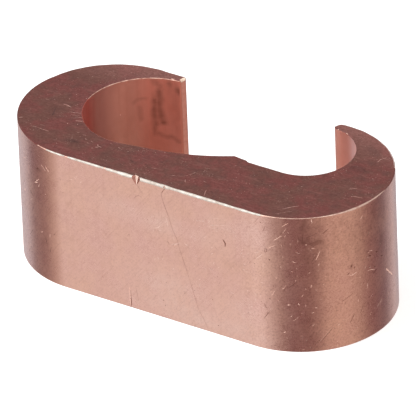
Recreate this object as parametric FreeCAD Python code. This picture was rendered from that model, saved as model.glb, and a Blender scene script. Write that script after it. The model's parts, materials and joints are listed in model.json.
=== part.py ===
import FreeCAD, Part
import math
import os

from FreeCAD import Vector

# Compression grounding connector, sawn from one extruded copper bar.
# It stands on a sawn end. The bar runs along +Z, the long side of its outline is X, and the
# flat that the crimping die presses faces -Y. The two grooves face each other inside, and the
# wide mouth between their hooks is open to +Y.
# The origin is the middle of the outline, on the lower sawn end.

# Driving dimensions, in millimetres. A share is a plain ratio.

# The bar: its sawn length, and its long outline with two full round ends.
sawn_length = 19.05
body_length = 50.6
body_width = 23.2

# Run groove, at the left, for the larger conductor or a ground rod.
run_radius = 8.0
run_heel_wall = 7.4
run_tip_wall = 1.35

# Its hook is cut off almost square, just short of the groove's centre line, and its two
# corners are eased.
run_tip_setback = 0.15
run_tip_slant = 0.2
run_tip_outer_radius = 0.25
run_tip_inner_radius = 0.35

# Tap groove, at the right, for the smaller conductor.
tap_radius = 5.95
tap_heel_wall = 7.2
tap_tip_wall = 1.5

# Its hook ends in a rounded nose, just past the groove's centre line.
tap_tip_overreach = 0.05
nose_outer_radius = 0.9
nose_inner_radius = 0.55

# Ridge between the grooves: a low land, with a small step down to the tap groove's flat floor.
ridge_to_tap = 5.15
ridge_width = 1.9
ridge_fall = 0.2
step_height = 0.24
step_run = 0.3

# Flank from the run groove up to the ridge: a straight ramp, then a hollow rise.
ramp_slope_share = 0.6
ramp_length_share = 0.3

# All edges of both sawn ends are broken lightly.
edge_break = 0.15

# The most of a hook's end face that its two corner radii may use up.
end_face_share = 0.92

# Places that follow from the sizes.
end_radius = body_width / 2
end_centre_x = body_length / 2 - end_radius

run_centre = Vector(
    -body_length / 2 + run_heel_wall + run_radius,
    end_radius - run_tip_wall - run_radius,
    0,
)
tap_centre = Vector(
    body_length / 2 - tap_heel_wall - tap_radius,
    end_radius - tap_tip_wall - tap_radius,
    0,
)
run_tip_x = run_centre.x - run_tip_setback
tap_tip_x = tap_centre.x - tap_tip_overreach


def line(start, end):
    return Part.LineSegment(start, end).toShape()


def polar(centre, radius, angle):
    return centre + Vector(radius * math.cos(angle), radius * math.sin(angle), 0)


def angle_of(centre, point):
    return math.atan2(point.y - centre.y, point.x - centre.x)


def arc(centre, start, end, turn):
    """Arc about centre from start to end: turn is 1 for anticlockwise, -1 for clockwise."""
    start_angle = angle_of(centre, start)
    sweep = (turn * (angle_of(centre, end) - start_angle)) % (2 * math.pi)
    middle = polar(centre, start.distanceToPoint(centre), start_angle + turn * sweep / 2)
    return Part.Arc(start, middle, end).toShape()


def tangent_arc(start, tangent_point, direction):
    """Arc from start to tangent_point, where direction is its tangent, looking back to start."""
    chord = start - tangent_point
    bend = math.atan2(chord.y, chord.x) - math.atan2(direction.y, direction.x)
    sagitta = chord.Length / 2 * math.tan(bend / 2)
    across = Vector(chord.y, -chord.x, 0).normalize()
    middle = tangent_point + chord * 0.5 + across * sagitta
    return Part.Arc(start, middle, tangent_point).toShape()


def groove_bottom(centre, radius):
    return polar(centre, radius, -math.pi / 2)


def upper_wall(centre, radius, x):
    """Point of a groove's upper wall at x."""
    return Vector(x, centre.y + math.sqrt(radius ** 2 - (x - centre.x) ** 2), 0)


def back_of_outline(x):
    """Point of the outline's back at x, on its flat or on a round end."""
    past_flat = max(0, abs(x) - end_centre_x)
    return Vector(x, math.sqrt(end_radius ** 2 - past_flat ** 2), 0)


def run_tip_corners():
    """Outer and inner corner of the run hook's end."""
    inner = upper_wall(run_centre, run_radius, run_tip_x - run_tip_slant)
    return back_of_outline(run_tip_x), inner


def tap_tip_corners():
    """Outer and inner corner of the tap hook's end."""
    return back_of_outline(tap_tip_x), upper_wall(tap_centre, tap_radius, tap_tip_x)


def bar_outline():
    """Long outline with two full round ends."""
    left = Vector(-end_centre_x, 0, 0)
    right = Vector(end_centre_x, 0, 0)
    half_width = Vector(0, end_radius, 0)
    return Part.Wire([
        line(left - half_width, right - half_width),
        arc(right, right - half_width, right + half_width, 1),
        line(right + half_width, left + half_width),
        arc(left, left + half_width, left - half_width, 1),
    ])


def ridge_points():
    """Ridge corner, ridge shoulder and step foot, from left to right."""
    floor_y = tap_centre.y - tap_radius
    shoulder_y = floor_y + step_height
    shoulder_x = tap_centre.x - ridge_to_tap
    corner = Vector(shoulder_x - ridge_width, shoulder_y + ridge_fall, 0)
    shoulder = Vector(shoulder_x, shoulder_y, 0)
    foot = Vector(shoulder_x + step_run, floor_y, 0)
    return corner, shoulder, foot


def ramp_points(ridge_corner):
    """Both ends of the straight ramp, which leaves the run groove tangentially."""
    slope = ramp_slope_share * angle_of(groove_bottom(run_centre, run_radius), ridge_corner)
    start = polar(run_centre, run_radius, slope - math.pi / 2)
    end = polar(start, ramp_length_share * start.distanceToPoint(ridge_corner), slope)
    return start, end


def mouth_outline():
    """Both grooves and the mouth between the hooks, carried on past the back of the bar."""
    ridge_corner, ridge_shoulder, step_foot = ridge_points()
    floor_end = groove_bottom(tap_centre, tap_radius)
    ramp_start, ramp_end = ramp_points(ridge_corner)

    run_tip_outer, run_tip_inner = run_tip_corners()
    run_tip_beyond = run_tip_outer + (run_tip_outer - run_tip_inner)
    tap_tip_outer, tap_tip_inner = tap_tip_corners()
    tap_tip_beyond = Vector(tap_tip_outer.x, run_tip_beyond.y, 0)

    return Part.Wire([
        line(run_tip_beyond, run_tip_inner),
        arc(run_centre, run_tip_inner, ramp_start, 1),
        line(ramp_start, ramp_end),
        tangent_arc(ridge_corner, ramp_end, ramp_end - ramp_start),
        line(ridge_corner, ridge_shoulder),
        line(ridge_shoulder, step_foot),
        line(step_foot, floor_end),
        arc(tap_centre, floor_end, tap_tip_inner, 1),
        line(tap_tip_inner, tap_tip_beyond),
        line(tap_tip_beyond, run_tip_beyond),
    ])


def round_upright(bar, corner, radius):
    """Round the edge of the bar that stands on a corner of its section."""
    def distance(edge):
        return max(math.hypot(v.X - corner.x, v.Y - corner.y) for v in edge.Vertexes)
    return bar.makeFillet(radius, [min(bar.Edges, key=distance)])


def round_hook_end(bar, corners, outer_radius, inner_radius):
    """Round both corners of a hook's end, as far as its wall has room."""
    outer_corner, inner_corner = corners
    room = end_face_share * outer_corner.distanceToPoint(inner_corner)
    fit = min(1, room / (outer_radius + inner_radius))
    bar = round_upright(bar, outer_corner, fit * outer_radius)
    return round_upright(bar, inner_corner, fit * inner_radius)


def end_edges(bar):
    """All edges that lie in one of the two sawn ends."""
    def lies_at(edge, z):
        return all(abs(v.Z - z) < Part.Precision.confusion() for v in edge.Vertexes)
    return [edge for edge in bar.Edges if lies_at(edge, 0) or lies_at(edge, sawn_length)]


def connector_body():
    """The bar sawn to length, with its hook ends rounded and its sawn ends broken."""
    section = Part.Face(bar_outline()).cut(Part.Face(mouth_outline()))
    bar = section.Faces[0].extrude(Vector(0, 0, sawn_length))
    bar = round_hook_end(bar, run_tip_corners(), run_tip_outer_radius, run_tip_inner_radius)
    bar = round_hook_end(bar, tap_tip_corners(), nose_outer_radius, nose_inner_radius)
    return bar.makeChamfer(edge_break, end_edges(bar))


os.makedirs("parts", exist_ok=True)
body = connector_body()
body.exportStep("parts/connector_body.step")

print("solids", len(body.Solids), "valid", body.isValid())
print("volume mm3", round(body.Volume, 2), "faces", len(body.Faces))
print("box", body.optimalBoundingBox(False, False))
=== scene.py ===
import json
import random
from math import atan2, ceil, copysign, cos, degrees, exp, hypot, pi, radians, sin, sqrt

import bmesh
import bpy
from mathutils import Matrix, Vector, noise
from mathutils.geometry import delaunay_2d_cdt


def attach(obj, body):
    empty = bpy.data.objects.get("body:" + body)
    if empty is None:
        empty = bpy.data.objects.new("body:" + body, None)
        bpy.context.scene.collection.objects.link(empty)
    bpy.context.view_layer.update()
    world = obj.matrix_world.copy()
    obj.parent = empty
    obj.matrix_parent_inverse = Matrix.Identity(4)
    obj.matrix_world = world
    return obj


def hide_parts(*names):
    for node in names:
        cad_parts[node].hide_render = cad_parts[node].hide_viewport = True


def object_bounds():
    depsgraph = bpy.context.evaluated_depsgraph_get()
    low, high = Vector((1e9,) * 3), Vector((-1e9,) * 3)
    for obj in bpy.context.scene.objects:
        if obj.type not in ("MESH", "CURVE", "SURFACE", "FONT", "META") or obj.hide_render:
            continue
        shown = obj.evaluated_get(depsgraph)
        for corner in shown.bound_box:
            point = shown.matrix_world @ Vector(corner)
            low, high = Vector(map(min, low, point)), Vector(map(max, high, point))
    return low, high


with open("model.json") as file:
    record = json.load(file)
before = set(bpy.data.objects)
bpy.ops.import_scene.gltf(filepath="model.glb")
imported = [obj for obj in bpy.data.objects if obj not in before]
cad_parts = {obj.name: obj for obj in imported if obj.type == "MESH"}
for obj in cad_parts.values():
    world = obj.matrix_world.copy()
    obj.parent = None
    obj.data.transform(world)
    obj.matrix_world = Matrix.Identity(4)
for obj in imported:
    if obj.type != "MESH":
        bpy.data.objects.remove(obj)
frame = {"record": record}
cad_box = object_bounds()

MM = 0.001

# The bar's length between its sawn ends, and its long outline with two full round ends, from the
# frame. The ends' centres lie at END_X on both sides.
HALF_LONG, HALF_WIDE, LENGTH = cad_box[1]
END_X = HALF_LONG - HALF_WIDE


def groove(name):
    """Centre and radius of a groove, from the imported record."""
    mount = next(mount for mount in frame["record"]["mounts"] if mount["name"] == name)
    return (*mount["pos_m"][:2], mount["dims"]["r_mm"] * MM)


RUN_X, RUN_Y, RUN_RADIUS = groove("run_groove")
TAP_X, TAP_Y, TAP_RADIUS = groove("tap_groove")

# The hooks' ends, and the radii of their corners.
RUN_TIP_X = RUN_X - 0.15 * MM
RUN_TIP_INNER_X = RUN_TIP_X - 0.2 * MM
RUN_TIP_OUTER = 0.25 * MM
RUN_TIP_INNER = 0.35 * MM
TAP_TIP_X = TAP_X - 0.05 * MM
NOSE_OUTER = 0.9 * MM
NOSE_INNER = 0.55 * MM

# The ridge between the grooves, the step down to the tap groove's floor, and the ramp.
FLOOR_Y = TAP_Y - TAP_RADIUS
SHOULDER = (TAP_X - 5.15 * MM, FLOOR_Y + 0.24 * MM)
CORNER = (SHOULDER[0] - 1.9 * MM, SHOULDER[1] + 0.2 * MM)
FOOT = (SHOULDER[0] + 0.3 * MM, FLOOR_Y)
RAMP_SLOPE_SHARE = 0.6
RAMP_LENGTH_SHARE = 0.3

# Camera, fitted to the outlines: degrees, metres and pixels of the 416 pixel frame. Only the
# sensor's width is in millimetres.
AZIMUTH = 33.66
ELEVATION = 31.48
ROLL = 2.25
PIXELS_PER_METRE = 8150
DISTANCE = 1.2967
AIM = Vector((0.2 * MM, 0, LENGTH / 2))
AIM_PIXEL = (209.2, 207.0)
FRAME_PIXELS = 416
SENSOR = 36.0

# Steps of the mesh round the outline, finer at the hooks' ends, its rings, and the steps of a rim.
RING_STEP = 0.22 * MM
NOSE_STEP = 0.1 * MM
TIP_STEP = 0.12 * MM
CORNER_STEP = 0.08 * MM
RINGS = 60
RIM_STEPS = 3

# A sawn end's mesh: its pitch, and how deep it undulates.
CAP_PITCH = 0.7 * MM
CAP_RIPPLE = 0.03 * MM

# The metal's skin lies this far inside the solid, and the marks on its sides just above it.
SKIN = 0.01 * MM
MARK_DEPTH = 0.004 * MM

# Seeds of the random draws.
CAP_SEED = 5
MARKS_SEED = 11

# Zones of the outline, which are also the material slots of the faces.
(OUTER, RUN, FLANK, TAP, TIP, SAWN, PAINTED_HIGHLIGHT_RIM, DULL_RIM, GROOVE_RIM, BACK_RIM, TIP_HIGHLIGHT_RIM, NICK_PAINTED_SHADE,
 NICK_PAINTED_HIGHLIGHT) = range(13)


def arc(x, y, radius, start, end, zone, step=RING_STEP):
    """Points on an arc, without its last one."""
    count = max(3, ceil(abs(end - start) * radius / step))
    return [
        (x + radius * cos(start + (end - start) * i / count),
         y + radius * sin(start + (end - start) * i / count), zone)
        for i in range(count)
    ]


def straight(x0, y0, x1, y1, zone, step=RING_STEP):
    """Points on a line, without its last one."""
    count = max(1, ceil(hypot(x1 - x0, y1 - y0) / step))
    return [(x0 + (x1 - x0) * i / count, y0 + (y1 - y0) * i / count, zone) for i in range(count)]


def section():
    """The outline, anticlockwise from the front of the right end."""
    half_turn = pi / 2
    points = arc(END_X, 0, HALF_WIDE, -half_turn, half_turn, OUTER)
    points += straight(END_X, HALF_WIDE, TAP_TIP_X + NOSE_OUTER, HALF_WIDE, OUTER)
    points += arc(TAP_TIP_X + NOSE_OUTER, HALF_WIDE - NOSE_OUTER, NOSE_OUTER,
                  half_turn, pi, OUTER, NOSE_STEP)

    # Small round between the tap hook's end and its wall.
    nose_x = TAP_TIP_X + NOSE_INNER
    nose_y = TAP_Y + sqrt((TAP_RADIUS + NOSE_INNER) ** 2 - (nose_x - TAP_X) ** 2)
    towards = atan2(TAP_Y - nose_y, TAP_X - nose_x) % (2 * pi)
    points += straight(TAP_TIP_X, HALF_WIDE - NOSE_OUTER, TAP_TIP_X, nose_y, TIP, NOSE_STEP)
    points += arc(nose_x, nose_y, NOSE_INNER, pi, towards, TAP, NOSE_STEP)
    points += arc(TAP_X, TAP_Y, TAP_RADIUS, towards - pi, -half_turn, TAP)

    # Flat floor, step and ridge.
    points += straight(TAP_X, FLOOR_Y, *FOOT, FLANK)
    points += straight(*FOOT, *SHOULDER, FLANK, CORNER_STEP)
    points += straight(*SHOULDER, *CORNER, FLANK)

    # Hollow rise and straight ramp, walked down from the ridge.
    bottom = (RUN_X, RUN_Y - RUN_RADIUS)
    slope = RAMP_SLOPE_SHARE * atan2(CORNER[1] - bottom[1], CORNER[0] - bottom[0])
    start = (RUN_X + RUN_RADIUS * sin(slope), RUN_Y - RUN_RADIUS * cos(slope))
    ramp = RAMP_LENGTH_SHARE * hypot(CORNER[0] - start[0], CORNER[1] - start[1])
    end = (start[0] + ramp * cos(slope), start[1] + ramp * sin(slope))
    chord = (CORNER[0] - end[0], CORNER[1] - end[1])
    bend = atan2(chord[1], chord[0]) - slope
    rise = hypot(*chord) / 2 / sin(bend)
    rise_x = end[0] - rise * sin(slope)
    rise_y = end[1] + rise * cos(slope)
    foot_angle = slope - half_turn
    points += arc(rise_x, rise_y, rise, foot_angle + 2 * bend, foot_angle, FLANK)
    points += straight(*end, *start, FLANK)

    # Run groove, its hook's end with two eased corners, and back along the outside.
    centre = Vector((RUN_X, RUN_Y))
    inner = Vector((RUN_TIP_INNER_X, RUN_Y + sqrt(RUN_RADIUS ** 2 - (RUN_TIP_INNER_X - RUN_X) ** 2)))
    up = (Vector((RUN_TIP_X, HALF_WIDE)) - inner).normalized()
    inward = Vector((-up.y, up.x))
    lean = atan2(-inward.y, -inward.x)
    reach = inner + inward * RUN_TIP_INNER - centre
    ahead = reach.dot(up)
    rise = sqrt(ahead ** 2 - reach.length_squared + (RUN_RADIUS + RUN_TIP_INNER) ** 2) - ahead
    ease = inner + inward * RUN_TIP_INNER + up * rise
    turned = atan2(ease.y - RUN_Y, ease.x - RUN_X)
    top_rise = (HALF_WIDE - RUN_TIP_OUTER - inner.y - inward.y * RUN_TIP_OUTER) / up.y
    top_ease = inner + inward * RUN_TIP_OUTER + up * top_rise
    points += arc(RUN_X, RUN_Y, RUN_RADIUS, foot_angle, turned - 2 * pi, RUN)
    points += arc(*ease, RUN_TIP_INNER, turned - pi, lean, RUN, CORNER_STEP)
    low_corner = ease - inward * RUN_TIP_INNER
    top_corner = top_ease - inward * RUN_TIP_OUTER
    points += straight(*low_corner, *top_corner, TIP, TIP_STEP)
    points += arc(*top_ease, RUN_TIP_OUTER, lean, half_turn, OUTER, CORNER_STEP)
    points += straight(top_ease.x, HALF_WIDE, -END_X, HALF_WIDE, OUTER)
    points += arc(-END_X, 0, HALF_WIDE, half_turn, 3 * half_turn, OUTER)
    points += straight(-END_X, -HALF_WIDE, END_X, -HALF_WIDE, OUTER)
    return points


# A corner's mitre grows no further than one over this.
LEAST_MITRE = 0.6


def inward_normals(points):
    """Mitred inward normals of the closed outline."""
    normals = []
    count = len(points)
    for i in range(count):
        before, here, after = points[i - 1], points[i], points[(i + 1) % count]
        a = Vector((here[0] - before[0], here[1] - before[1])).normalized()
        b = Vector((after[0] - here[0], after[1] - here[1])).normalized()
        na = Vector((-a.y, a.x))
        nb = Vector((-b.y, b.x))
        middle = (na + nb).normalized()
        normals.append(middle / max(LEAST_MITRE, middle.dot(na)))
    return normals


def along(x, y):
    """Distance along the outside from the front's middle, in mm, positive to the right."""
    past = max(0, abs(x) - END_X)
    turn = atan2(copysign(past, x), -y)
    return (max(-END_X, min(END_X, x)) + HALF_WIDE * turn) / MM


def between(value, stops):
    """Value on the straight lines through the stops."""
    for (low, start), (high, end) in zip(stops, stops[1:]):
        if value < high:
            return start + (end - start) * max(0, value - low) / (high - low)
    return stops[-1][1]


# How far the outer edge is broken, in mm, by the distance along the outside.
RIM_WIDTHS = [
    (-54, 0.2), (-36, 0.2), (-32, 0.05), (-17.5, 0.05), (-15.8, 0.12), (-10.8, 0.19), (-8, 0.28),
    (-2, 0.31), (-1.8, 0.35), (-1.3, 0.31), (3, 0.31), (8, 0.26), (14.6, 0.18), (17, 0.1),
    (19.5, 0.065), (22.5, 0.065), (25, 0.14), (28, 0.17), (31.5, 0.1), (33, 0.05), (38, 0.2),
    (54, 0.2),
]

# The same for the other edges: a groove's rubbed edge, both hooks' ends, and the rest.
RUBBED_RIM = 0.07
RUN_TIP_RIM = 0.4
TAP_TIP_RIM = 0.05
FINE_RIM = 0.03

# How a rim's width wavers, slowly and finely: by which share, how often, and from which start.
RIM_WAVERS = [(0.45, 900, 0), (0.35, 3500, 0.01)]

# The most that the run hook's end and its corners have room for, and how far the corners reach.
MOST_TIP_RIM = 0.28 * MM
MOST_CORNER_RIM = 0.18 * MM
CORNER_REACH = 0.6 * MM

# Parts of the rim's width that are left: round the lower end, and in the upper rim's gaps.
LOWER_RIM_PART = 0.25
GAP_RIM_PART = 0.3

# Along the outside: where the upper rim's rubbed part starts and ends, its part with a painted
# highlight, where the back's part ends and starts, and the gaps where the rim is almost missing.
WORN = (-17.5, 32.7)
HIGHLIGHT_SPAN = (-16, 15.2)
BACK = (-34, 38)
RIM_GAPS = [(-13.05, -12.75), (-7.4, -7.2)]

# Directions in degrees between which the run groove's edge is rubbed.
RUBBED = (80, 188)


def rim(x, y, zone):
    """How far the edge is broken at a point of the outline, and which metal shows there."""
    waver = sum(share * noise.noise(Vector((x, y, z)) * scale) for share, scale, z in RIM_WAVERS)
    uneven = (1 + waver) * MM
    if zone == RUN:
        turn = degrees(atan2(y - RUN_Y, x - RUN_X)) % 360
        rubbed = RUBBED[0] < turn < RUBBED[1]
        return (RUBBED_RIM if rubbed else FINE_RIM) * uneven, GROOVE_RIM if rubbed else RUN
    # Painted highlight: the hooks' ends take a near-white rim, widest on the run hook.
    if zone == TIP:
        return (RUN_TIP_RIM if x < 0 else TAP_TIP_RIM) * MM, TIP_HIGHLIGHT_RIM
    if zone != OUTER:
        return FINE_RIM * uneven, SAWN if zone == TAP else DULL_RIM
    place = along(x, y)
    width = between(place, RIM_WIDTHS) * uneven
    if any(low < place < high for low, high in RIM_GAPS):
        return GAP_RIM_PART * width, DULL_RIM
    # Painted highlight: here the front's broken edge takes a pale cream metal, where it catches the light.
    if HIGHLIGHT_SPAN[0] < place < HIGHLIGHT_SPAN[1]:
        return width, PAINTED_HIGHLIGHT_RIM
    if place < BACK[0] or place > BACK[1]:
        return width, BACK_RIM
    return width, DULL_RIM if WORN[0] < place < WORN[1] else SAWN


def rims_of(outline):
    """Width and slot of the rim at each point. The widths change gently, and stay below the radii
    of the run hook's corners."""
    found = [rim(*p) for p in outline]
    count = len(outline)
    eased = []
    for i, (x, y, zone) in enumerate(outline):
        width = sum(found[(i + k) % count][0] for k in (-2, -1, 0, 1, 2)) / 5
        if abs(x - RUN_TIP_X) < CORNER_REACH and y > 0:
            width = min(width, MOST_TIP_RIM if zone == TIP else MOST_CORNER_RIM)
        eased.append((width, found[i][1]))
    return eased


def connector(metals):
    """The bar, with its rims, sawn ends, nicks and stains."""
    outline = section()
    normals = inward_normals(outline)
    rims = rims_of(outline)
    count = len(outline)
    bm = bmesh.new()

    def ring(height, inset, lift, part=1.0):
        """The outline at a height, with shares of the rim's width taken inwards and upwards. Only a
        part of that width may count."""
        made = []
        for (x, y, zone), n, (width, slot) in zip(outline, normals, rims):
            width *= part
            inward = width * inset + SKIN
            made.append(bm.verts.new((x + n.x * inward, y + n.y * inward, height + lift * width)))
        return made

    angles = [pi / 2 * k / RIM_STEPS for k in range(RIM_STEPS + 1)]
    rings = [ring(0, 1 - sin(a), 1 - cos(a), LOWER_RIM_PART) for a in angles]
    for level in range(1, RINGS):
        rings.append(ring(LENGTH * level / RINGS, 0, 0))
    rings += [ring(LENGTH, 1 - sin(a), cos(a) - 1) for a in reversed(angles)]

    for level, (low, high) in enumerate(zip(rings, rings[1:])):
        on_rim = level >= len(rings) - 1 - RIM_STEPS
        for i in range(count):
            j = (i + 1) % count
            face = bm.faces.new((low[i], low[j], high[j], high[i]))
            face.smooth = True
            face.material_index = rims[i][1] if on_rim else outline[i][2]

    for loop, height, flip in ((rings[0], 0, True), (rings[-1], LENGTH, False)):
        cap(bm, loop, height, flip)

    bmesh.ops.recalc_face_normals(bm, faces=bm.faces)
    sharpen(bm)
    body = to_object(bm, "connector", metals)
    for cutter in nick_cutters(metals):
        cut(body, cutter)
    mark_stains(body.data)
    return body


def sharpen(bm):
    """Keep the shading crisp at corners and along both sides of the rims."""
    corner = radians(35)
    for edge in bm.edges:
        tilted = [0.1 < abs(face.normal.z) < 0.99 for face in edge.link_faces]
        if any(tilted) and not all(tilted) or edge.calc_face_angle() > corner:
            edge.smooth = False


def to_object(bm, name, metals):
    mesh = bpy.data.meshes.new(name)
    bm.to_mesh(mesh)
    bm.free()
    for material in metals:
        mesh.materials.append(material)
    return linked(name, mesh)


def linked(name, data):
    made = bpy.data.objects.new(name, data)
    bpy.context.scene.collection.objects.link(made)
    return made


def cut(body, cutter):
    """Take the cutter out of the body. Both have the same slots."""
    modifier = body.modifiers.new("nick", "BOOLEAN")
    modifier.operation = "DIFFERENCE"
    modifier.solver = "MANIFOLD"
    modifier.object = cutter
    graph = bpy.context.evaluated_depsgraph_get()
    mesh = bpy.data.meshes.new_from_object(body.evaluated_get(graph))
    body.modifiers.clear()
    body.data = mesh
    bpy.data.objects.remove(cutter)


def notch(name, metals, left, right, back_left, back_right, apex, sides):
    """Cutter for a dent in the front's top edge. In mm, it is open on the front from left to right,
    reaches back on the top as far as the two back corners, and closes at the apex below. The last
    one is the metal of its sides. It is carried on past the top and the front."""
    front = -HALF_WIDE / MM
    tip = Vector((apex[0], front, apex[1]))
    places = [(left, front), back_left, back_right, (right, front)]
    rays = [Vector((*place, LENGTH / MM)) - tip for place in places]
    bm = bmesh.new()
    low = bm.verts.new(tip * MM)
    a, b, c, d = [bm.verts.new((tip + ray * 1.5) * MM) for ray in rays]
    outside = bm.verts.new((tip + Vector((0, -0.5, 1.5))) * MM)
    # The middle face takes the nick's painted highlight; the sides take the metal given: painted shade on
    # the deep nick, the painted highlight on the small one.
    bm.faces.new((low, b, c)).material_index = NICK_PAINTED_HIGHLIGHT
    for corners in ((low, a, b), (low, c, d), (low, d, outside), (low, outside, a), (a, outside, b),
                    (b, outside, c), (c, outside, d)):
        bm.faces.new(corners).material_index = sides
    bmesh.ops.recalc_face_normals(bm, faces=bm.faces)
    return to_object(bm, name, metals)


def nick_cutters(metals):
    return [
        notch("nick_deep", metals, -3.42, -1.87, (-3.05, -11.05), (-2.55, -11.1), (-2.6, 17.95), NICK_PAINTED_SHADE),
        notch("nick_small", metals, 1.2, 1.7, (1.35, -11.42), (1.5, -11.42), (1.33, 18.43), NICK_PAINTED_HIGHLIGHT),
    ]


# Soft streaks of stain on the run groove's wall: half width in mm, strength, and the places it
# passes: a direction from the groove's centre in degrees, and a height in mm.
RUN_STREAKS = [
    (0.5, 0.4, (116.7, 18.7), (114.5, 18.2), (112, 17.9), (112.6, 17.1)),
    (0.35, 0.3, (112, 17.9), (109, 17.4)),
    (0.5, 0.62, (117.3, 15.8), (117.3, 14.5), (117, 13.2), (116.2, 12.4)),
    (0.5, 0.72, (112.9, 17.1), (112.4, 16), (113, 14.3), (111.7, 13.3), (109.2, 12.8)),
    (0.7, 0.4, (115, 16.4), (115, 13)),
    (0.42, 0.45, (116.2, 12.4), (117, 11.8), (116.4, 11)),
    (0.38, 0.5, (114, 11), (111.9, 10.9), (108.3, 10.6), (102.7, 10.8), (95, 10.3)),
    (0.5, 0.7, (94, 17.7), (92.3, 17.2)),
    (0.4, 0.5, (103.2, 18.4), (101.8, 18.2)),
    (1.6, 0.18, (97, 17.5), (96, 12.5)),
    (0.3, 0.35, (135.7, 15.7), (132.9, 16), (124.8, 16.1)),
    (0.4, 0.35, (130.5, 15), (130.2, 14), (129.7, 13.2)),
    (1.2, 0.15, (150, 13.5), (146, 9.5), (134, 9)),
]

# Smudges, paler clouds and stains: place, half sizes and strength. The place is, on the outside, a
# distance along it and a height; on the top, x and y.
SIDE_SMUDGES = [
    (20.6, 18.2, 0.5, 1, 0.5), (20.6, 16, 0.45, 0.5, 0.7), (21.9, 15.7, 1.1, 0.22, 0.55),
    (20.7, 13.3, 0.6, 1.6, 0.3), (20.5, 3, 0.9, 2, 0.3), (26.8, 10.8, 0.35, 0.5, 0.6),
    (29.4, 11.4, 0.5, 0.3, 0.45), (31.2, 12.2, 0.7, 1.4, 0.35), (30.8, 17, 1.2, 1.6, 0.25),
    (25, 17.5, 1.5, 0.6, 0.15), (-17.5, 15.5, 0.4, 0.35, 0.7), (-18.3, 13, 1.2, 2, 0.2),
    (-17, 5, 0.8, 2, 0.2), (11.5, 10.8, 1.6, 1.4, 0.22), (27, 15, 4.5, 3.5, 0.28),
    (-13.2, 9, 0.8, 9, 0.17), (22.6, 14.2, 0.9, 4, 0.27),
]
PALE_CLOUDS = [
    (0.8, 13.6, 2.2, 1.3, 0.65), (-5.2, 14, 2.4, 1.3, 0.4), (1.6, 4.6, 4.2, 2, 0.6),
    (-1, 1.4, 3.5, 1.2, 0.35), (4.6, 1.1, 2.6, 1.3, 0.7), (11.6, 1.3, 4, 1.8, 0.65),
    (12.2, 5, 2.5, 1.6, 0.35), (14.2, 16.4, 1.8, 2.6, 0.4), (9.5, 16, 1.8, 1.2, 0.4),
    (7.3, 13.3, 2, 1, 0.35), (18.9, 7, 1, 5, 0.45),
]
TOP_STAINS = [
    (20.5, 3.4, 1.2, 0.5, 0.7), (20, 7.1, 0.9, 0.4, 0.6), (18.6, 8.2, 0.9, 0.4, 0.5),
    (-19.9, -3.4, 0.5, 1, 0.6), (-13.7, -8.1, 0.8, 0.5, 0.5), (-22.5, 3.5, 1.2, 1.8, 0.3),
    (3.5, -7, 2, 1, 0.25), (12, -4.5, 2.2, 0.8, 0.3), (-8, -9, 2.5, 0.8, 0.3),
]


# How ragged the borders are: of stains and smudges, and of pale clouds.
RAGGED = 0.9
SOFTLY_RAGGED = 0.6

# A point this near to a skin is on it. For the distance round a groove's wall it may be further.
NEAR = 0.06 * MM
NEAR_RUN = 0.3 * MM
NEAR_TAP = 0.6 * MM


def drift(where):
    """How far a stain's border wanders at a place, both ways."""
    return Vector((noise.noise(where * 700), noise.noise(where * 900 + Vector((7, 3, 5)))))


def stained(spots, u, v, where, ragged):
    """How stained a place is, with more or less ragged borders."""
    wander = ragged * drift(where)
    u += 1.3 * wander.x
    v += 0.55 * wander.y
    total = 0
    for at_u, at_v, half_u, half_v, strength in spots:
        away = ((u - at_u) / half_u) ** 2 + ((v - at_v) / half_v) ** 2
        total += strength * exp(-0.7 * away)
    return max(0, total * (1 + ragged * noise.noise(where * 1500)))


def streaked(turn, z, where):
    """How stained the run groove's wall is in a direction in degrees, and at a height in mm."""
    degree = radians(RUN_RADIUS / MM)
    here = Vector((turn * degree, z)) + 0.25 * drift(where)
    most = 0
    for half, strength, *route in RUN_STREAKS:
        corners = [Vector((at * degree, height)) for at, height in route]
        for a, b in zip(corners, corners[1:]):
            share = max(0, min(1, (here - a).dot(b - a) / (b - a).length_squared))
            away = (here - a - (b - a) * share).length / half
            most = max(most, strength * exp(-away * away))
    return most * (1 + 0.4 * noise.noise(where * 1500))


def skin(where):
    """How stained and how pale the skin is at a point, and its distance along the outside, or round
    a groove's wall from its right."""
    x, y, z = where
    place = along(x, y)
    around = place * MM
    turn = atan2(y - RUN_Y, x - RUN_X) % (2 * pi)
    to_run_wall = hypot(x - RUN_X, y - RUN_Y) - RUN_RADIUS
    if to_run_wall < NEAR_RUN:
        around = turn * RUN_RADIUS
    elif hypot(x - TAP_X, y - TAP_Y) - TAP_RADIUS < NEAR_TAP:
        around = atan2(y - TAP_Y, x - TAP_X) * TAP_RADIUS
    stain = pale = 0
    if to_run_wall < NEAR:
        stain = streaked(degrees(turn), z / MM, where)
    elif z > LENGTH - NEAR:
        stain = stained(TOP_STAINS, x / MM, y / MM, where, RAGGED)
    elif hypot(max(0, abs(x) - END_X), y) > HALF_WIDE - NEAR:
        stain = stained(SIDE_SMUDGES, place, z / MM, where, RAGGED)
        pale = stained(PALE_CLOUDS, place, z / MM, where, SOFTLY_RAGGED)
    return stain, pale, around


def mark_stains(mesh):
    """Store on each of its points what the skin is like there."""
    columns = zip(*(skin(vertex.co) for vertex in mesh.vertices))
    for name, values in zip(("stain", "pale", "around"), columns):
        mesh.attributes.new(name, "FLOAT", "POINT").data.foreach_set("value", values)


# Marks are thin ribbons and flecks on the skin; the glints are partly bright scratches and partly
# painted highlight. Their slots in the marks' own mesh:
HAIRLINE, CREASE, GLINT, DENT, FLECK, PALE, SCUFF, SMEAR = range(8)

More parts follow.
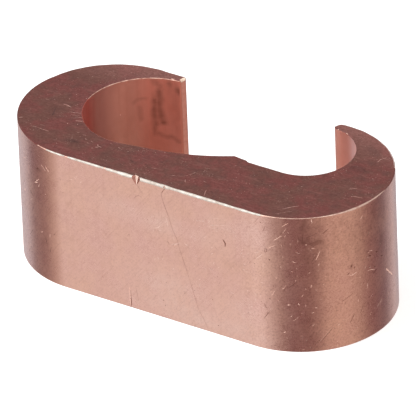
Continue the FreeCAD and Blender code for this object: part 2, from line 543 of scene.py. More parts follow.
# Lines on the outside, by slot: width, and places along it and up, in mm. The long one that runs
# down the front is a hairline at the top, and then four creases.
SIDE_LINES = {
    HAIRLINE: [
        (0.08, (1.6, 18.8), (1.3, 18.4), (1, 17.9)), (0.12, (-4.08, 1.5), (-4.08, 0.9), (-4.07, 0.2)),
    ],
    CREASE: [
        (0.09, (1, 17.9), (1.1, 17.1), (1.5, 16), (1.9, 14.9)),
        (0.05, (1.9, 14.9), (2.5, 13), (3, 12), (3.4, 10.5), (4.3, 7.8)),
        (0.03, (4.3, 7.8), (5, 5.4), (5.8, 2.7)), (0.04, (5.8, 2.7), (6.5, 1.5), (7.1, 0.3)),
        (0.06, (-2.5, 18), (-2.2, 17.7), (-1.7, 17)),
        (0.08, (-3, 16), (-2.8, 16.35), (-2.3, 16.6), (-1.9, 16.5)), (0.1, (-4.1, 2.5), (-4.08, 1.4)),
        (0.05, (-3.3, 3), (-3.1, 2), (-3, 1.2)), (0.13, (1.6, 11.3), (1.9, 10.9)),
        (0.07, (8.5, 12.6), (8.8, 12.3)), (0.08, (-0.4, 18.2), (-0.2, 18)),
        (0.16, (15.3, 6.5), (15.6, 5.8)), (0.22, (15.6, 5.3), (15.9, 5.1)),
    ],
    GLINT: [
        (0.08, (-4.26, 2.9), (-4.24, 1.6), (-4.23, 0.4)), (0.08, (2.2, 11.3), (2.8, 10.9)),
        (0.05, (16.2, 7.6), (16.8, 8.6)), (0.06, (17.9, 17.8), (18.7, 18.4)),
        (0.05, (16.7, 15.6), (17.9, 16.6)), (0.07, (21.9, 13), (22.5, 14.3)),
        (0.1, (21.5, 18.9), (21.6, 18.3)), (0.08, (28, 17.2), (28.4, 17.6)),
        (0.08, (29.2, 14.5), (29.4, 14.9)), (0.08, (26, 9.9), (26.6, 9.8), (27.2, 10)),
        (0.05, (29, 11.9), (29.4, 12.1), (29.9, 11.9)), (0.06, (28.9, 9.5), (29.4, 9.4), (30.1, 9.1)),
        (0.16, (32.5, 8), (33.3, 7.1), (34.3, 6.1)), (0.04, (22.1, 1.4), (23.6, 3.1)),
        (0.05, (-16.8, 16.5), (-16.1, 15.8)), (0.05, (-16.2, 16.6), (-15.4, 15.8)),
        (0.06, (-18.2, 13.3), (-17.6, 13.6)), (0.16, (-21.35, 10.5), (-21.2, 10.9)),
        (0.08, (-17.5, 6.5), (-17.1, 6.7)), (0.07, (-15.9, 6.4), (-15.8, 6.9)),
    ],
    DENT: [
        (0.17, (9.7, 14), (10.05, 13.5), (10, 13)),
        (0.06, (15.6, 14.3), (15.9, 14.4), (15.9, 14), (15.6, 13.9), (15.6, 14.3)),
        (0.08, (22.8, 16.6), (23.6, 17.2)), (0.2, (26.6, 11.3), (26.4, 10.9)),
        (0.14, (27, 10.9), (26.9, 10.6)), (0.14, (26.2, 10.3), (25.9, 10)), (0.2, (29.1, 9.9), (29.4, 9.8)),
        (0.2, (30, 9.5), (30.3, 9.4)), (0.2, (29.2, 11.5), (29.6, 11.3)), (0.2, (30.4, 11.5), (30.8, 11.3)),
        (0.24, (31.4, 10.4), (31.8, 10.2)), (0.05, (22.3, 1.4), (23.8, 3.1)),
        (0.04, (25.1, 6.5), (26.6, 7.2)), (0.08, (-19.6, 11.6), (-18.9, 11)),
        (0.06, (-16.7, 6.2), (-16.4, 5)),
    ],
    SCUFF: [
        (0.12, (2.2, 11), (2.8, 11.2), (3.5, 11.6)), (0.14, (4.1, 11.7), (4.6, 11.5)),
        (0.09, (2.5, 12.3), (2.6, 11.6)), (0.06, (8.1, 15.1), (10.1, 15.7)),
        (0.05, (7.8, 15.4), (10.1, 16.1)), (0.05, (8.1, 16.4), (9.3, 16.9)),
        (0.07, (6.8, 13.3), (7.4, 13.7)), (0.08, (5.5, 13.1), (5.8, 12.7)),
        (0.12, (-0.2, 12.6), (0.3, 12.8), (0.7, 13.3)), (0.07, (1.6, 14.6), (1.8, 13.3)),
        (0.09, (14, 13.5), (14.8, 13.6)), (0.1, (15.2, 14.8), (15.7, 14.5)),
        (0.07, (10.5, 6.7), (11.2, 6.6)), (0.06, (14.4, 12.6), (15.3, 13.5)),
    ],
    SMEAR: [
        (0.25, (20.7, 15.8), (21.3, 15.5), (22, 15.5), (22.8, 15.7)),
        (0.3, (21.2, 15.4), (21.8, 15.2), (22.4, 15.4)), (0.2, (20.9, 15.5), (21.4, 15.2), (21.8, 14.9)),
    ],
}

# Lines on the top, by slot: width, and x and y, in mm.
TOP_LINES = {
    PALE: [
        (0.13, (-19.9, -1.3), (-19.2, -1.3), (-18.6, -1.5)), (0.06, (-18.2, -2.5), (-16.7, -2.1)),
        (0.05, (-17.7, -3), (-16.6, -2.7)), (0.06, (-17, -3.2), (-16, -2.9)),
        (0.12, (-16.4, -3.9), (-15.5, -3.6)),
        (0.06, (-20.6, -7.6), (-19.8, -7.5), (-18.9, -7.6), (-17.9, -7.6)),
        (0.1, (-22.9, -6.7), (-22.5, -6.3)), (0.07, (-14.8, -6.1), (-14.4, -6)),
        (0.07, (-13.8, -6.3), (-13.4, -6.2)), (0.08, (-13.1, -6.9), (-12.7, -7)),
        (0.07, (-12.3, -7.6), (-12, -7.6)), (0.09, (-11.2, -8.4), (-10.9, -8.3)),
        (0.08, (-10.9, -8), (-10.5, -7.8)), (0.07, (-12.1, -7), (-11.7, -7.2)),
        (0.07, (-11, -7.2), (-10.7, -7.6), (-10.1, -7.7)), (0.07, (-9.8, -6.3), (-9.4, -6.4)),
        (0.07, (-8.4, -6.6), (-8, -6.8)), (0.08, (16.8, -9), (17.5, -8.1), (18.2, -7.4)),
        (0.04, (16.7, -10.4), (18.1, -8.8)), (0.1, (22.6, -2.3), (23.9, -2.1)),
        (0.08, (21.3, -1.2), (22.2, -0.5)), (0.07, (21.1, 5.8), (21.1, 6.6), (21.3, 7), (21.8, 7.1)),
        (0.035, (0.7, -9), (1.5, -8.8), (2.3, -8.4)), (0.035, (2.3, -8.4), (2.8, -7.7), (3.1, -6.9)),
        (0.07, (6.9, -11.1), (6.6, -10.4), (6.4, -9.8)),
    ],
    FLECK: [
        (0.1, (-19.6, -4.2), (-19.9, -3.3), (-20.2, -2.6)), (0.1, (-14.2, -7.9), (-13.2, -8.2)),
    ],
    GLINT: [
        (0.12, (-11.6, 10.3), (-11.1, 10.4)), (0.14, (12.6, 10.15), (12.95, 10.15)),
        (0.1, (14.2, 9.85), (14.5, 9.75)),
    ],
}

# Scuffed patches on the outside: place, half sizes, the number of short light scratches, and their
# slot.
SCUFFS = [
    (7.3, 15.6, 2.2, 0.8, 22, SCUFF), (10.5, 15.2, 2, 0.7, 22, SCUFF), (8, 10, 1.8, 2, 18, SCUFF),
    (6, 5.6, 1.2, 1.6, 12, SCUFF), (12.5, 12, 1, 3, 12, SCUFF), (0.8, 8, 1.5, 0.8, 6, SCUFF),
    (-11.5, 16, 1.5, 1, 10, SCUFF), (13, 5, 1.2, 2.5, 12, SCUFF), (1, 13.6, 3, 1.2, 16, SCUFF),
    (14.6, 9, 2.2, 7, 26, SCUFF), (19.5, 8, 4, 7, 36, GLINT), (22.5, 13, 5, 4, 12, GLINT),
    (30, 9, 6, 7, 14, GLINT),
]

# Bright dots and dark pits on the outside, and pale dots on the top, by place and size in mm.
SIDE_DOTS = [
    (20.8, 15.3, 0.14), (18.9, 15.4, 0.12), (17.9, 13.5, 0.12), (17, 10.4, 0.14), (19.4, 10.2, 0.1),
    (22.8, 9.4, 0.14), (21.3, 9.4, 0.12), (17.8, 9, 0.12), (18.4, 6.8, 0.1), (20.5, 6.6, 0.1),
    (18.7, 5.1, 0.14),
]
SIDE_PITS = [
    (16.2, 12.9, 0.2), (16.1, 7.3, 0.16), (7.9, 4.8, 0.12), (8.6, 1.3, 0.12), (15.2, 18, 0.14),
    (16.6, 9.2, 0.14), (14.2, 11.9, 0.12), (7.8, 12.9, 0.1), (0.7, 2.5, 0.14), (-17.6, 15.6, 0.25),
]
TOP_DOTS = [
    (-16.9, -4.9, 0.14), (-15.7, -4.5, 0.14), (-19.7, 1.4, 0.12), (-15.5, -10.3, 0.12),
    (-15.5, -9.5, 0.12), (15.4, -5.2, 0.12), (-2.7, -4.9, 0.16), (9.1, -5.9, 0.1), (9.8, -6.1, 0.1),
    (-18.1, 1.2, 0.14), (-16.5, 7.5, 0.12), (12.9, 10, 0.12), (14.5, 9.7, 0.12), (-14, 9.4, 0.1),
]

# A dot on the run groove's wall: its direction in degrees, and its height in mm.
RUN_DOT = (148.5, 14.35)

# The steps of a ribbon in mm, and the number of a fleck's corners.
RIBBON_STEP = 0.3
FLECK_CORNERS = 7

# How many marks are scattered over the top and the sides. The front flat has the fewest, out to
# FLAT_REACH mm along the outside.
TOP_SCATTER = 520
SIDE_SCATTER = 620
FLAT_REACH = 14.5


def on_side(place, z):
    """Place on the outside, and the way out of the metal there."""
    flat = max(-END_X, min(END_X, place * MM))
    turn = (place * MM - flat) / HALF_WIDE
    away = Vector((sin(turn), -cos(turn), 0))
    return Vector((flat, 0, z * MM)) + away * (HALF_WIDE - MARK_DEPTH), away


def on_top(x, y):
    return Vector((x * MM, y * MM, LENGTH)), Vector((0, 0, 1))


def on_run_wall(turn, z):
    away = Vector((cos(radians(turn)), sin(radians(turn)), 0))
    return Vector((RUN_X, RUN_Y, z * MM)) + away * (RUN_RADIUS + MARK_DEPTH), -away


def ribbon(bm, surface, route, width, slot):
    """A thin strip over the surface, pointed at both ends."""
    spots = []
    for (u0, v0), (u1, v1) in zip(route, route[1:]):
        steps = ceil(hypot(u1 - u0, v1 - v0) / RIBBON_STEP)
        for k in range(steps):
            spots.append(surface(u0 + (u1 - u0) * k / steps, v0 + (v1 - v0) * k / steps))
    spots.append(surface(*route[-1]))
    rows = []
    last = len(spots) - 1
    for i, (place, normal) in enumerate(spots):
        ahead = spots[min(i + 1, last)][0] - spots[max(i - 1, 0)][0]
        side = normal.cross(ahead).normalized() * width / 2 * MM
        taper = 0.3 if i in (0, last) else 1 + 0.5 * noise.noise(place * 5000)
        rows.append((bm.verts.new(place - side * taper), bm.verts.new(place + side * taper)))
    for (a, b), (c, d) in zip(rows, rows[1:]):
        bm.faces.new((a, b, d, c)).material_index = slot


def fleck(bm, spot, long, wide, turn, slot, spread):
    """A small uneven patch, lying flat on the skin."""
    place, normal = spot
    across = normal.cross(Vector((1, 0, 0)) if abs(normal.z) > 0.5 else Vector((0, 0, 1))).normalized()
    across.rotate(Matrix.Rotation(turn, 3, normal))
    lengthwise = normal.cross(across)
    corners = []
    for k in range(FLECK_CORNERS):
        a = 2 * pi * k / FLECK_CORNERS
        r = spread.uniform(0.65, 1.15)
        offset = across * cos(a) * r * wide / 2 + lengthwise * sin(a) * r * long / 2
        corners.append(bm.verts.new(place + offset * MM))
    face = bm.faces.new(corners)
    face.material_index = slot
    face.normal_update()
    if face.normal.dot(normal) < 0:
        face.normal_flip()


def marks(metals):
    """Scratches, dents and flecks that the photograph shows one by one, and a scatter of finer
    ones."""
    bm = bmesh.new()
    spread = random.Random(MARKS_SEED)
    pick = spread.uniform
    for lines, surface in ((SIDE_LINES, on_side), (TOP_LINES, on_top)):
        for slot, rows in lines.items():
            for width, *route in rows:
                ribbon(bm, surface, route, width, slot)
    dotted = ((SIDE_DOTS, on_side, GLINT), (SIDE_PITS, on_side, DENT), (TOP_DOTS, on_top, PALE))
    for dots, surface, slot in dotted:
        for u, v, size in dots:
            fleck(bm, surface(u, v), size * 1.3, size, pick(0, 3.1), slot, spread)
    fleck(bm, on_run_wall(*RUN_DOT), 0.14, 0.1, 0.4, GLINT, spread)
    for place, z, half_long, half_high, number, slot in SCUFFS:
        for k in range(number):
            u = spread.gauss(place, half_long / 2)
            v = max(0.4, min(18.2, spread.gauss(z, half_high / 2)))
            turn, long = pick(-0.5, 2.2), pick(0.15, 0.45)
            route = [(u, v), (u + cos(turn) * long, v + sin(turn) * long)]
            ribbon(bm, on_side, route, pick(0.05, 0.1), slot)
    scatter_on_top(bm, spread)
    scatter_on_side(bm, spread)
    return to_object(bm, "marks", metals)


def stroke(u, v, turn, long):
    """Route of a short straight scratch about a place."""
    du, dv = cos(turn) * long / 2, sin(turn) * long / 2
    return [(u - du, v - dv), (u + du, v + dv)]


def scatter_on_top(bm, spread):
    """Small flecks and short scratches, most of them along the bar's long side."""
    pick = spread.uniform
    outline = [(x, y) for x, y, zone in section()]
    for k in range(TOP_SCATTER):
        x, y = pick(-25, 25), pick(-11.3, 11.3)
        turn = spread.gauss(0, 0.4) if k % 3 else pick(0, pi)
        long = pick(0.07, 0.2) if k % 4 else pick(0.3, 0.9)
        slot = PALE if k % 5 < 3 else FLECK
        if not inside(x * MM, y * MM, outline):
            continue
        if min((x * MM - a) ** 2 + (y * MM - b) ** 2 for a, b in outline[::3]) < (0.5 * MM) ** 2:
            continue
        if noise.noise(Vector((x, y, 3)) * 0.25) < pick(-0.5, 0.3):
            continue
        if long > 0.25:
            ribbon(bm, on_top, stroke(x, y, turn, long), pick(0.025, 0.05), slot)
        else:
            fleck(bm, on_top(x, y), long, pick(0.05, 0.09), turn, slot, spread)


def scatter_on_side(bm, spread):
    """Fine scratches that rise to the right, and dots. The front flat has the fewest."""
    pick = spread.uniform
    for k in range(SIDE_SCATTER):
        place, z = pick(-49, 49), pick(0.5, 18.5)
        turn = spread.gauss(0.85, 0.35)
        long = pick(0.3, 1.4)
        slot = (GLINT, DENT, CREASE)[k % 3]
        on_flat = abs(place) < FLAT_REACH
        if on_flat and k % 4:
            continue
        if k % 2:
            (u0, v0), (u1, v1) = stroke(place, z, turn, long)
            route = [(u0, max(0.3, v0)), (u1, min(18.7, v1))]
            width = pick(0.015, 0.035) if on_flat else pick(0.025, 0.06)
            ribbon(bm, on_side, route, width, CREASE if on_flat else slot)
        else:
            size = pick(0.05, 0.11)
            fleck(bm, on_side(place, z), size * 1.4, size, turn, slot, spread)


def inside(x, y, loop):
    """Whether a point lies in a closed loop."""
    found = False
    before = loop[-1]
    for here in loop:
        if (here[1] > y) != (before[1] > y):
            if x < (before[0] - here[0]) * (y - here[1]) / (before[1] - here[1]) + here[0]:
                found = not found
        before = here
    return found


def cap(bm, loop, height, flip):
    """A sawn end, as a fine mesh that undulates by a few hundredths of a millimetre."""
    edge = [(v.co.x, v.co.y) for v in loop]
    coarse = edge[::4]
    spread = random.Random(CAP_SEED)
    inner = []
    columns = int(2 * HALF_LONG / CAP_PITCH)
    rows = int(2 * HALF_WIDE / CAP_PITCH)
    for i in range(columns + 1):
        for j in range(rows + 1):
            x = -HALF_LONG + (i + spread.uniform(-0.3, 0.3)) * CAP_PITCH
            y = -HALF_WIDE + (j + spread.uniform(-0.3, 0.3)) * CAP_PITCH
            if not inside(x, y, edge):
                continue
            if min((x - a) ** 2 + (y - b) ** 2 for a, b in coarse) > (0.55 * CAP_PITCH) ** 2:
                inner.append((x, y))
    flat = [Vector(p) for p in edge + inner]
    count = len(edge)
    border = [(i, (i + 1) % count) for i in range(count)]
    made = delaunay_2d_cdt(flat, border, [], 1, 1e-9)
    verts = list(loop)
    inwards = 1 if flip else -1
    for x, y in inner:
        depth = (0.5 + 0.5 * noise.noise(Vector((x, y, height)) * 420)) * CAP_RIPPLE
        verts.append(bm.verts.new((x, y, height + inwards * depth)))
    for triangle in made[2]:
        if any(k >= len(verts) for k in triangle):
            continue
        corners = [verts[k] for k in triangle]
        centre = [sum(c.co[k] for c in corners) / len(corners) for k in (0, 1)]
        if not inside(*centre, edge):
            continue
        face = bm.faces.new(reversed(corners) if flip else corners)
        face.material_index = SAWN
        face.smooth = True


class Nodes:
    """Short forms for building a node tree."""

    def __init__(self, tree):
        self.tree = tree
        tree.nodes.clear()

    def add(self, kind, **settings):
        node = self.tree.nodes.new(kind)
        for name, value in settings.items():
            setattr(node, name, value)
        return node

    def put(self, socket, value):
        if isinstance(value, bpy.types.NodeSocket):
            self.tree.links.new(value, socket)
        else:
            socket.default_value = value

    def fill(self, node, sockets, values):
        for socket, value in zip(sockets, values):
            self.put(node.inputs[socket], value)

    def math(self, operation, a, b=0.0, clamp=False):
        node = self.add("ShaderNodeMath", operation=operation, use_clamp=clamp)
        self.fill(node, (0, 1), (a, b))
        return node.outputs[0]

    def mix(self, share, a, b, blend="MIX"):
        node = self.add("ShaderNodeMix", data_type="RGBA", blend_type=blend)
        self.fill(node, (0, 6, 7), (share, a, b))
        return node.outputs[2]

    def stretch(self, value, low, high, to_low=0.0, to_high=1.0):
        node = self.add("ShaderNodeMapRange", clamp=True)
        self.fill(node, range(5), (value, low, high, to_low, to_high))
        return node.outputs[0]

    def mapped(self, vector, setting, value):
        node = self.add("ShaderNodeMapping")
        self.fill(node, ("Vector", setting), (vector, value))
        return node.outputs[0]

    def close(self, kind, shader):
        """The output of the tree, with its shader."""
        self.put(self.add(kind).inputs[0], shader.outputs[0])

    def metal(self, colour, roughness, height, relief):
        """The metal's shader, with a height that stands out by the relief."""
        bump = self.add("ShaderNodeBump")
        self.fill(bump, ("Height", "Distance", "Strength"), (height, relief, 1.0))
        shader = self.add("ShaderNodeBsdfPrincipled")
        self.put(shader.inputs["Metallic"], 1.0)
        self.put(shader.inputs["Base Color"], colour)
        self.put(shader.inputs["Roughness"], roughness)
        self.put(shader.inputs["Normal"], bump.outputs[0])
        self.close("ShaderNodeOutputMaterial", shader)

    def split(self, vector):
        node = self.add("ShaderNodeSeparateXYZ")
        self.put(node.inputs[0], vector)
        return node.outputs

    def scaled(self, factors=(1, 1, 1)):
        """Object coordinates times three factors."""
        return self.mapped(self.add("ShaderNodeTexCoord").outputs["Object"], "Scale", factors)

    def outside(self, turn, factors):
        """Distance along the outside and height, turned by an angle and times three factors."""
        flat = self.add("ShaderNodeCombineXYZ")
        self.put(flat.inputs[0], self.attribute("around"))
        self.put(flat.inputs[1], self.split(self.scaled())[2])
        turned = self.mapped(flat.outputs[0], "Rotation", (0, 0, turn))
        return self.mapped(turned, "Scale", factors)

    def attribute(self, name):
        return self.add("ShaderNodeAttribute", attribute_name=name).outputs["Fac"]

    def noise(self, vector, scale, detail=3.0, roughness=0.55):
        node = self.add("ShaderNodeTexNoise")
        self.fill(node, ("Vector", "Scale", "Detail", "Roughness"),
                  (vector, scale, detail, roughness))
        return node.outputs[0]


def rgb(r, g, b):
    return (r, g, b, 1.0)


# Height of the fine relief on each kind of skin.
BRUSHED_RELIEF = 0.008 * MM
SAWN_RELIEF = 0.03 * MM
SMOOTH_RELIEF = 0.005 * MM

# Direction of the brushing on the sides.
BRUSH_TURN = radians(-50)

# Factor for the deeper clouds and lines on the groove walls.
DEEPER = rgb(0.88, 0.8, 0.77)

# Colours of the groove walls, each with the directions in degrees between which it takes over. They
# are partly the walls' own tone and partly painted reflection: lighter, darker and tinted stretches.
RUN_BANDS = [(122, 136, rgb(0.625, 0.312, 0.246)), (148, 166, rgb(0.5, 0.24, 0.196)),
             (175, 188, rgb(0.54, 0.17, 0.138)), (210, 264, rgb(0.86, 0.5, 0.42))]
TAP_BANDS = [(55, 68, rgb(0.94, 0.53, 0.43)), (78, 92, rgb(1, 0.72, 0.63))]


def blank(name):
    """A material without nodes yet, and the means to add them."""
    material = bpy.data.materials.new(name)
    material.use_nodes = True
    return material, Nodes(material.node_tree)


def drawn_copper():
    """Outer sides: satin pink copper, with fine brushing that rises to the right, faint lines along
    the extrusion, soft clouds and smudges."""
    material, n = blank("copper_drawn")
    place = n.scaled()
    lines = n.noise(n.scaled((1, 1, 0.04)), 2400, 3)
    brushed = n.noise(n.outside(BRUSH_TURN, (0.06, 1, 1)), 3800, 3)
    cloud = n.noise(place, 230, 4, 0.6)
    blotch = n.noise(place, 1100, 3, 0.6)
    grain = n.noise(place, 6000, 2)
    colour = n.mix(n.stretch(cloud, 0.35, 0.7), rgb(0.78, 0.468, 0.402), rgb(0.84, 0.52, 0.414))
    colour = n.mix(n.stretch(blotch, 0.5, 0.72, 0, 0.14), colour, rgb(0.5, 0.26, 0.21))
    around = n.attribute("around")
    ends = n.math("ADD", n.stretch(around, 11 * MM, 17.5 * MM), n.stretch(around, -14.5 * MM, -19 * MM))
    grit = n.noise(place, 4000, 3, 0.7)
    worn = n.math("MULTIPLY", n.stretch(grit, 0.5, 0.7), n.stretch(ends, 0, 1, 0.17, 0.68))
    shine = n.math("MULTIPLY", n.stretch(grit, 0.42, 0.24), n.stretch(ends, 0, 1, 0.16, 0.75))
    colour = n.mix(n.attribute("pale"), colour, rgb(0.86, 0.58, 0.5))
    colour = n.mix(n.stretch(grain, 0.5, 0.75, 0, 0.28), colour, rgb(0.45, 0.24, 0.2))
    colour = n.mix(worn, colour, rgb(0.45, 0.24, 0.2))
    colour = n.mix(shine, colour, rgb(1, 0.72, 0.62))
    colour = n.mix(n.stretch(lines, 0.5, 0.75, 0, 0.12), colour, rgb(0.55, 0.29, 0.22))
    colour = n.mix(n.stretch(brushed, 0.54, 0.76, 0, 0.22), colour, rgb(0.42, 0.2, 0.16))
    colour = n.mix(n.stretch(n.attribute("stain"), 0.1, 0.9, 0, 0.6), colour, rgb(0.3, 0.15, 0.12))
    height = n.math("ADD", n.math("MULTIPLY", lines, 0.4), n.math("MULTIPLY", brushed, 0.6))
    n.metal(colour, n.stretch(cloud, 0.3, 0.7, 0.25, 0.33), height, BRUSHED_RELIEF)
    return material


def groove_copper(name, base, dark, roughness, bands=(), radius=0.0, painted_lower_shade=0.0):
    """Groove walls: a redder, duller copper with soft clouds, and stains where it is marked. Each
    band is a colour that takes over between two directions of the groove's wall, partly its own
    tone and partly painted reflection. Further down, painted shade darkens the wall by a share."""
    material, n = blank(name)
    cloud = n.noise(n.scaled((1, 1, 0.6)), 300, 3, 0.5)
    lines = n.noise(n.scaled((1, 1, 0.08)), 1500, 3)
    colour = base
    for start, end, next_colour in bands:
        low, high = (radius * radians(turn) for turn in (start, end))
        colour = n.mix(n.stretch(n.attribute("around"), low, high), colour, next_colour)
    # Painted shade: the wall gets darker towards the groove's lower end.
    if painted_lower_shade:
        lower = n.stretch(n.split(n.scaled())[2], 18 * MM, 10 * MM)
        colour = n.mix(lower, colour, rgb(*3 * [1 - painted_lower_shade]), "MULTIPLY")
    colour = n.mix(n.stretch(cloud, 0.42, 0.72), colour, DEEPER, "MULTIPLY")
    colour = n.mix(n.stretch(lines, 0.5, 0.75, 0, 0.5), colour, DEEPER, "MULTIPLY")
    colour = n.mix(n.stretch(n.attribute("stain"), 0.08, 0.9, 0, 0.9), colour, dark)
    n.metal(colour, n.stretch(cloud, 0.3, 0.7, roughness, roughness + 0.08), lines, BRUSHED_RELIEF)
    return material


def sawn_copper():
    """Sawn ends: dull brown oxide, maroon and olive in patches, with saw streaks along the bar's
    long side and tiny bright specks."""
    material, n = blank("copper_sawn")
    place = n.scaled()
    patch = n.noise(place, 210, 5, 0.62)
    small = n.noise(place, 850, 4, 0.6)
    grain = n.noise(place, 3600, 3, 0.6)
    streak = n.noise(n.scaled((0.2, 1, 1)), 2600, 3)
    speck = n.noise(place, 5200, 1)
    where = n.noise(place, 500, 2)
    colour = n.mix(n.stretch(patch, 0.43, 0.57), rgb(0.208, 0.058, 0.05), rgb(0.172, 0.066, 0.05))
    colour = n.mix(n.stretch(small, 0.5, 0.68, 0, 0.5), colour, rgb(0.135, 0.05, 0.044))
    back = n.stretch(n.split(place)[1], 5 * MM, 12 * MM, 0, 0.74)
    colour = n.mix(back, colour, rgb(0.35, 0.15, 0.128))
    colour = n.mix(n.stretch(grain, 0.35, 0.7, 0, 0.45), colour, rgb(0.1, 0.038, 0.033))
    colour = n.mix(n.stretch(streak, 0.54, 0.74, 0, 0.3), colour, rgb(0.33, 0.14, 0.12))
    colour = n.mix(n.stretch(n.attribute("stain"), 0.1, 0.9, 0, 0.7), colour, rgb(0.07, 0.032, 0.027))
    bright = n.math("MULTIPLY", n.stretch(speck, 0.66, 0.76), n.stretch(where, 0.48, 0.62))
    colour = n.mix(n.math("MULTIPLY", bright, 0.8), colour, rgb(0.62, 0.4, 0.34))
    height = n.math("ADD", n.math("MULTIPLY", grain, 0.6), n.math("MULTIPLY", streak, 0.4))
    n.metal(colour, n.stretch(grain, 0.3, 0.7, 0.42, 0.6), height, SAWN_RELIEF)
    return material


def bare_copper(name, light, dark, roughness, relief=SAWN_RELIEF):
    """Rubbed or cut metal, as on the broken edges, the hooks' ends, in the nicks and on the marks.
    Some copies carry painted highlights: the bright front rim, the hooks' end rims, the nicks'
    lighter facets and the glints, which are partly bright scratches; the deep nick's sides carry
    painted shade.
    """
    material, n = blank("copper_" + name)
    wear = n.noise(n.scaled(), 1500, 3)
    colour = n.mix(n.stretch(wear, 0.4, 0.68), rgb(*light), rgb(*dark))
    n.metal(colour, n.stretch(wear, 0.3, 0.7, roughness, roughness + 0.15), wear, relief)
    return material


def body_metals():
    """The body's slots, in the order of the zones."""
    slots = {
        OUTER: drawn_copper(),
        # The run wall's last value is the share of its painted shade further down.
        RUN: groove_copper("copper_run", rgb(0.7, 0.302, 0.228), rgb(0.27, 0.11, 0.075), 0.52,
                           RUN_BANDS, RUN_RADIUS, 0.06),
        FLANK: groove_copper("copper_flank", rgb(0.92, 0.56, 0.475), rgb(0.5, 0.2, 0.15), 0.42),
        TAP: groove_copper("copper_tap", rgb(0.87, 0.56, 0.51), rgb(0.5, 0.2, 0.15), 0.42,
                           TAP_BANDS, TAP_RADIUS),
        TIP: bare_copper("tip", (0.78, 0.4, 0.31), (0.7, 0.34, 0.265), 0.6, SMOOTH_RELIEF),
        SAWN: sawn_copper(),
        # Painted highlight on the front's broken edge: a pale cream copy of the rim's metal.
        PAINTED_HIGHLIGHT_RIM: bare_copper("rim", (0.52, 0.485, 0.445), (0.47, 0.41, 0.36), 0.6),
        DULL_RIM: bare_copper("rim_dull", (0.58, 0.39, 0.32), (0.4, 0.22, 0.18), 0.4),
        GROOVE_RIM: bare_copper("rim_groove", (0.66, 0.42, 0.34), (0.4, 0.2, 0.16), 0.45),
        BACK_RIM: bare_copper("rim_back", (0.6, 0.46, 0.43), (0.42, 0.3, 0.27), 0.5),
        # Painted highlight on the hooks' ends: a near-white rim.
        TIP_HIGHLIGHT_RIM: bare_copper("rim_tip", (0.95, 0.78, 0.63), (0.8, 0.6, 0.47), 0.45),
        # The nicks' facets: dark painted shade, and a lighter painted highlight.
        NICK_PAINTED_SHADE: bare_copper("nick", (0.34, 0.16, 0.125), (0.24, 0.1, 0.08), 0.45),
        NICK_PAINTED_HIGHLIGHT: bare_copper("nick_floor", (0.72, 0.54, 0.46), (0.6, 0.42, 0.36), 0.4),
    }
    return [slots[zone] for zone in sorted(slots)]


def mark_metals():
    """The marks' slots, in order: hairline, crease, glint, dent, fleck, pale, scuff and smear."""
    rows = [
        ("hairline", (0.4, 0.19, 0.15), (0.3, 0.13, 0.1), 0.4),
        ("crease", (0.62, 0.36, 0.3), (0.54, 0.3, 0.25), 0.35),
        ("glint", (1.0, 0.76, 0.66), (0.88, 0.62, 0.52), 0.72),
        ("dent", (0.36, 0.17, 0.13), (0.25, 0.11, 0.09), 0.35),
        ("fleck", (0.12, 0.05, 0.045), (0.08, 0.035, 0.03), 0.5),
        ("pale", (0.6, 0.35, 0.3), (0.4, 0.19, 0.16), 0.5),
        ("scuff", (1.0, 0.72, 0.63), (0.93, 0.62, 0.53), 0.35),
        ("smear", (0.5, 0.27, 0.22), (0.44, 0.23, 0.19), 0.3, SMOOTH_RELIEF),
    ]
    return [bare_copper(*row) for row in rows]


def studio_world():
    """White studio. Below the horizon its brightness changes with direction, as the dark and
    pale surfaces round the stand do. Each stop is a direction in degrees and a colour."""
    world = bpy.data.worlds.new("studio")
    bpy.context.scene.world = world
    world.use_nodes = True
    n = Nodes(world.node_tree)
    x, y, z = n.split(n.add("ShaderNodeTexCoord").outputs["Generated"])
    turn = n.math("ARCTAN2", x, n.math("MULTIPLY", y, -1.0))
    share = n.stretch(turn, -pi, pi)
    ramp = n.add("ShaderNodeValToRGB")
    n.put(ramp.inputs[0], share)
    stops = [
        (-180, 0.64, 0.63, 0.66), (-170, 0.5, 0.51, 0.55), (-150, 0.6, 0.62, 0.68),
        (-110, 0.7, 0.73, 0.79), (-98, 0.67, 0.7, 0.76),
        (-86, 0.26, 0.19, 0.205), (-62, 0.32, 0.225, 0.22), (-46, 0.61, 0.51, 0.44),
        (-34, 0.97, 0.97, 0.97), (-20, 1.0, 1.0, 1.0), (-10, 0.7, 0.65, 0.63),
        (3, 0.43, 0.345, 0.315),
        (16, 0.26, 0.15, 0.15), (44, 0.27, 0.165, 0.155), (64, 0.68, 0.55, 0.47),
        (88, 0.7, 0.57, 0.49), (104, 0.56, 0.45, 0.38), (120, 0.28, 0.16, 0.16),
        (150, 0.22, 0.17, 0.19), (163, 0.5, 0.47, 0.5), (175, 0.74, 0.72, 0.74),
    ]
    elements = ramp.color_ramp.elements
    ramp.color_ramp.interpolation = "EASE"
    while len(elements) > 1:
        elements.remove(elements[-1])
    for k, (angle, *colour) in enumerate(stops):
        place = (angle + 180) / 360
        stop = elements[0] if k == 0 else elements.new(place)
        stop.position = place
        stop.color = rgb(*colour)
    studio = n.mix(n.stretch(z, -0.24, -0.02), ramp.outputs[0], rgb(1, 1, 1))
    path = n.add("ShaderNodeLightPath")
    seen = n.math("ADD", path.outputs["Is Camera Ray"], path.outputs["Is Glossy Ray"], True)
    seen = n.math("ADD", seen, path.outputs["Is Transmission Ray"], True)
    back = n.add("ShaderNodeBackground")
    n.put(back.inputs[0], n.mix(seen, rgb(0.7, 0.7, 0.7), studio))
    n.close("ShaderNodeOutputWorld", back)
    world.cycles.sampling_method = "NONE"


# The floor: its tone, the glow that the camera sees, half its size, and its gap below the bar.
FLOOR_TONE = 0.8
FLOOR_GLOW = 0.42
FLOOR_SIZE = 2.0
FLOOR_GAP = 0.02 * MM


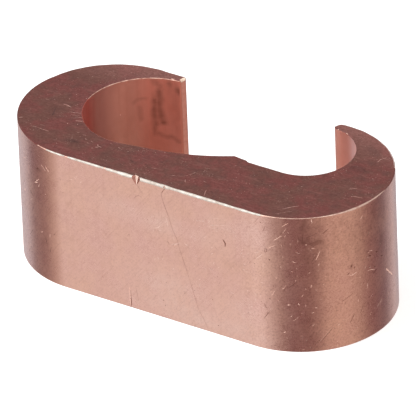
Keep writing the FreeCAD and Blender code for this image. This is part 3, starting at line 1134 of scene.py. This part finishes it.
def floor():
    """Pale floor. It stays out of the metal's reflections, which show the studio instead."""
    material, n = blank("floor_white")
    diffuse = n.add("ShaderNodeBsdfDiffuse")
    n.put(diffuse.inputs[0], rgb(*3 * [FLOOR_TONE]))
    glow = n.add("ShaderNodeEmission")
    seen = n.add("ShaderNodeLightPath").outputs["Is Camera Ray"]
    n.put(glow.inputs[1], n.math("MULTIPLY", seen, FLOOR_GLOW))
    both = n.add("ShaderNodeAddShader")
    n.put(both.inputs[0], diffuse.outputs[0])
    n.put(both.inputs[1], glow.outputs[0])
    n.close("ShaderNodeOutputMaterial", both)
    bm = bmesh.new()
    bmesh.ops.create_grid(bm, x_segments=2, y_segments=2, size=FLOOR_SIZE)
    plane = to_object(bm, "floor", [material])
    plane.location.z = -FLOOR_GAP
    plane.visible_glossy = False


def softbox(name, turn, rise, distance, size, watts):
    """Square area lamp, aimed at the connector. Its turn is counted from the front to the right."""
    lamp = bpy.data.lights.new(name, "AREA")
    lamp.shape = "SQUARE"
    lamp.size = size
    lamp.energy = watts
    made = linked(name, lamp)
    a, e = radians(turn), radians(rise)
    away = Vector((sin(a) * cos(e), -cos(a) * cos(e), sin(e)))
    made.location = AIM + away * distance
    made.rotation_mode = "QUATERNION"
    made.rotation_quaternion = away.to_track_quat("Z", "Y")


def camera():
    a, e, r = (radians(v) for v in (AZIMUTH, ELEVATION, ROLL))
    ahead = Vector((-sin(a) * cos(e), cos(a) * cos(e), -sin(e)))
    level = Vector((cos(a), sin(a), 0))
    down = ahead.cross(level)
    right = cos(r) * level + sin(r) * down
    down = -sin(r) * level + cos(r) * down
    place = AIM - ahead * DISTANCE
    place -= right * (AIM_PIXEL[0] - FRAME_PIXELS / 2) / PIXELS_PER_METRE
    place -= down * (AIM_PIXEL[1] - FRAME_PIXELS / 2) / PIXELS_PER_METRE
    data = bpy.data.cameras.new("camera")
    data.sensor_width = SENSOR
    data.lens = PIXELS_PER_METRE * DISTANCE * SENSOR / FRAME_PIXELS
    data.clip_start = 0.1
    data.clip_end = 20
    made = linked("camera", data)
    axes = Matrix((right, -down, -ahead)).transposed()
    made.matrix_world = Matrix.Translation(place) @ axes.to_4x4()
    bpy.context.scene.camera = made


body = connector(body_metals())
scars = marks(mark_metals())
for piece in (body, scars):
    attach(piece, "root")
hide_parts("connector_body")

studio_world()
floor()
softbox("key", -42, 45, 0.5, 0.22, 2.2)
softbox("fill", 60, 40, 0.6, 0.3, 0.8)
camera()

bpy.context.scene.view_settings.view_transform = "Standard"
